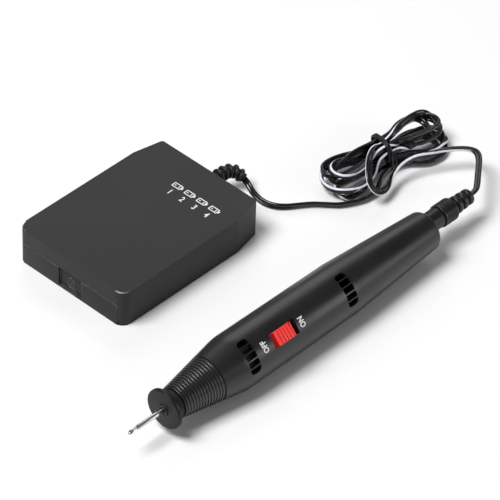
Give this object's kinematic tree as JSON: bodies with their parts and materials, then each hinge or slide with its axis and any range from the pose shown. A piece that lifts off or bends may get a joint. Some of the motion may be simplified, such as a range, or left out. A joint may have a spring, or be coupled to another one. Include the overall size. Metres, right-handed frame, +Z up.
{
  "type": "electric engraving pen",
  "caption": "Slim hand engraver with a slide switch, vents, grip rings, finger guard and bit, fed by a flat cord from a flat battery case with a sliding door.",
  "frame": {"origin": "on the surface that the case and the pen lie on, under the middle of the case's fixed base panel", "axes": "+Y from the engraving tip to the cord end, +Z up, +X across the case towards the pen"},
  "size_m": [0.1383, 0.254, 0.0269],
  "materials": {
    "case_plastic": "fine moulded grain",
    "barrel_plastic": "satin",
    "guard_plastic": "satin",
    "knob_plastic": "moulded, light gloss",
    "inner_plastic": "moulded",
    "cell_jacket": "printed film over the can",
    "contact_plate": "nickel plated",
    "spring_wire": "nickel plated",
    "steel": "bright drawn",
    "motor_steel": "blackened steel sheet",
    "magnet": "ferrite",
    "bronze": "sintered",
    "copper": "enamelled wire",
    "brass": "turned",
    "cord_jacket": "flat twin flex, glossy",
    "boot_rubber": "moulded",
    "wire_jacket": "inner lead",
    "tie": "covered wire"
  },
  "bodies": {
    "housing": {"barrel_screws": "steel", "battery_cell_1": "cell_jacket", "battery_cell_2": "cell_jacket", "battery_cell_3": "cell_jacket", "battery_cell_4": "cell_jacket", "case_base_panel": "case_plastic", "case_boot": "boot_rubber", "case_screws": "steel", "case_upper_shell": "case_plastic", "case_wire_left": "wire_jacket", "case_wire_right": "wire_jacket", "cord_case_stretch": "cord_jacket", "cord_hank": "cord_jacket", "cord_plug_stretch": "cord_jacket", "front_contact_plates": "contact_plate", "front_contact_springs": "spring_wire", "hank_tie": "tie", "jack_housing": "barrel_plastic", "jack_leaf": "brass", "jack_pin": "brass", "lower_barrel_shell": "barrel_plastic", "motor_brushes": "copper", "motor_can": "motor_steel", "motor_end_cap": "inner_plastic", "motor_front_bush": "bronze", "motor_jack_wire": "wire_jacket", "motor_magnets": "magnet", "motor_rear_bush": "bronze", "motor_switch_wire": "wire_jacket", "motor_terminals": "brass", "nose_bush": "bronze", "plug_contact": "brass", "plug_grip": "barrel_plastic", "plug_insulator": "inner_plastic", "plug_sleeve": "brass", "rear_bridge_plate": "contact_plate", "rear_contact_springs": "spring_wire", "rear_plate_left": "contact_plate", "rear_plate_right": "contact_plate", "switch_frame": "inner_plastic", "switch_jack_wire": "wire_jacket", "switch_terminals": "brass", "upper_barrel_shell": "barrel_plastic"},
    "battery_door": {"battery_door": "case_plastic"},
    "switch_knob": {"switch_knob": "knob_plastic", "switch_wiper": "brass"},
    "spindle": {"engraving_bit": "steel", "chuck": "steel", "chuck_set_screws": "steel", "motor_shaft": "steel", "rotor_core": "motor_steel", "rotor_windings": "copper", "commutator": "copper"},
    "finger_guard": {"finger_guard": "guard_plastic"}
  },
  "joints": [
    {"name": "battery_door_slide", "type": "slide", "parent": "housing", "child": "battery_door", "axis": [0, -1, 0], "range_m": [0, 0.064]},
    {"name": "switch_knob_slide", "type": "slide", "parent": "housing", "child": "switch_knob", "axis": [0, 1, 0], "range_m": [0, 0.0022]},
    {"name": "spindle_spin", "type": "hinge", "parent": "housing", "child": "spindle", "pos_m": [0.0919, 0, 0.0135], "axis": [0, 1, 0], "continuous": true},
    {"name": "finger_guard_pull", "type": "slide", "parent": "housing", "child": "finger_guard", "axis": [0, -1, 0], "range_m": [0, 0.034]}
  ]
}
